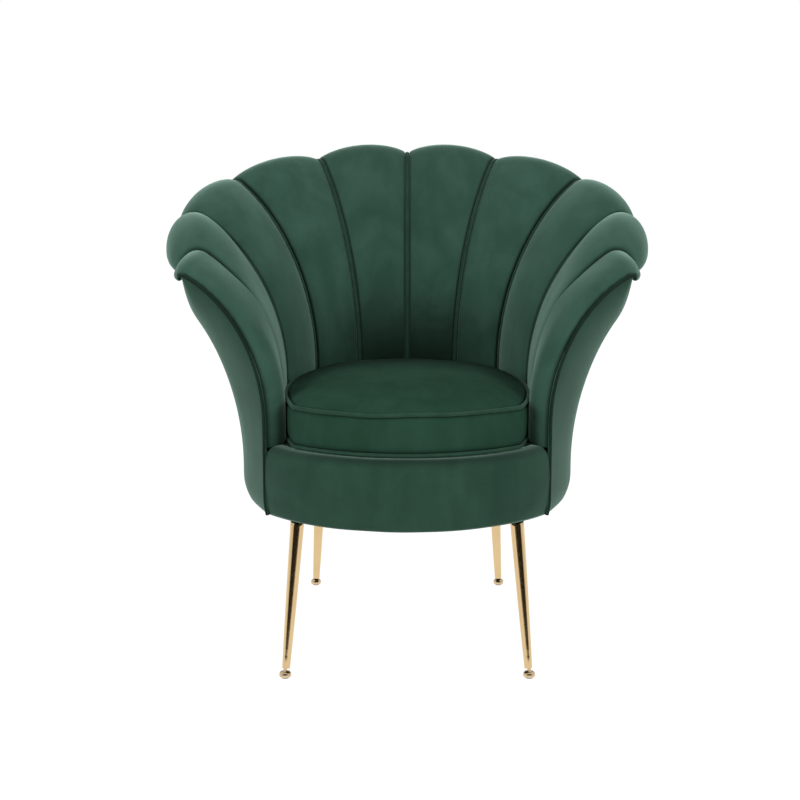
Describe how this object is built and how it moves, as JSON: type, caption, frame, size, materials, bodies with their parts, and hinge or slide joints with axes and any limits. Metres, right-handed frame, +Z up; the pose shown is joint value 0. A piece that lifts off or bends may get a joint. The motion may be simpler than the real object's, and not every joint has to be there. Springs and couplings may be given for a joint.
{
  "type": "scallop back armchair",
  "caption": "Tub armchair with a channelled, piped back that fans out and rolls over a scalloped rim, a loose cushion and thin tapered metal legs with glides.",
  "frame": {"origin": "on the floor under the middle of the chair's bounding box", "axes": "+Z up, the chair's front faces -Y, +X to the right as seen from the front"},
  "size_m": [0.8274, 0.7257, 0.8343],
  "materials": {
    "velvet": "cotton velvet with a short pile",
    "piping": "velvet-covered cord",
    "foam": "open-cell foam",
    "deck_cloth": "padded cloth",
    "lining": "spun-bonded lining",
    "beech": "planed",
    "plywood": "cut sheet",
    "spring_steel": "oiled wire and zinc-plated screws",
    "leg_metal": "polished pale gold",
    "insert_brass": "turned"
  },
  "bodies": {
    "chair": {"channel_pad_right_1": "velvet", "channel_pad_left_1": "velvet", "channel_pad_right_2": "velvet", "channel_pad_left_2": "velvet", "channel_pad_right_3": "velvet", "channel_pad_left_3": "velvet", "channel_pad_right_4": "velvet", "channel_pad_left_4": "velvet", "channel_pad_right_5": "velvet", "channel_pad_left_5": "velvet", "channel_piping": "piping", "front_edge_piping_right": "piping", "front_edge_piping_left": "piping", "outer_panel_right": "velvet", "outer_panel_left": "velvet", "outer_panel_back": "velvet", "apron_cover": "velvet", "seat_deck": "deck_cloth", "rail_right": "beech", "rail_left": "beech", "rail_back": "beech", "rail_front": "beech", "joint_blocks": "beech", "spring_rail": "beech", "seat_springs": "spring_steel", "spring_clips": "spring_steel", "back_ribs": "plywood", "arm_front_posts": "beech", "rim_rails": "beech", "belt_rails": "beech", "dust_cover": "lining", "leg_plates": "leg_metal", "leg_screws": "spring_steel", "leg_front_right": "leg_metal", "leg_front_left": "leg_metal", "leg_rear_right": "leg_metal", "leg_rear_left": "leg_metal", "glide_inserts": "insert_brass"},
    "seat_cushion": {"cushion_cover": "velvet", "cushion_foam": "foam", "cushion_piping": "piping"},
    "glide_front_right_body": {"glide_front_right": "leg_metal"},
    "glide_front_left_body": {"glide_front_left": "leg_metal"},
    "glide_rear_right_body": {"glide_rear_right": "leg_metal"},
    "glide_rear_left_body": {"glide_rear_left": "leg_metal"}
  },
  "joints": [
    {"name": "cushion_lift", "type": "slide", "parent": "chair", "child": "seat_cushion", "axis": [0, 0, 1], "range_m": [0, 0.4]},
    {"name": "glide_front_right_screw", "type": "slide", "parent": "chair", "child": "glide_front_right_body", "axis": [0.0735, -0.2179, -0.9732], "range_m": [0, 0.008]},
    {"name": "glide_front_left_screw", "type": "slide", "parent": "chair", "child": "glide_front_left_body", "axis": [-0.0735, -0.2179, -0.9732], "range_m": [0, 0.008]},
    {"name": "glide_rear_right_screw", "type": "slide", "parent": "chair", "child": "glide_rear_right_body", "axis": [0.0554, 0.0764, -0.9955], "range_m": [0, 0.008]},
    {"name": "glide_rear_left_screw", "type": "slide", "parent": "chair", "child": "glide_rear_left_body", "axis": [-0.0554, 0.0764, -0.9955], "range_m": [0, 0.008]}
  ]
}
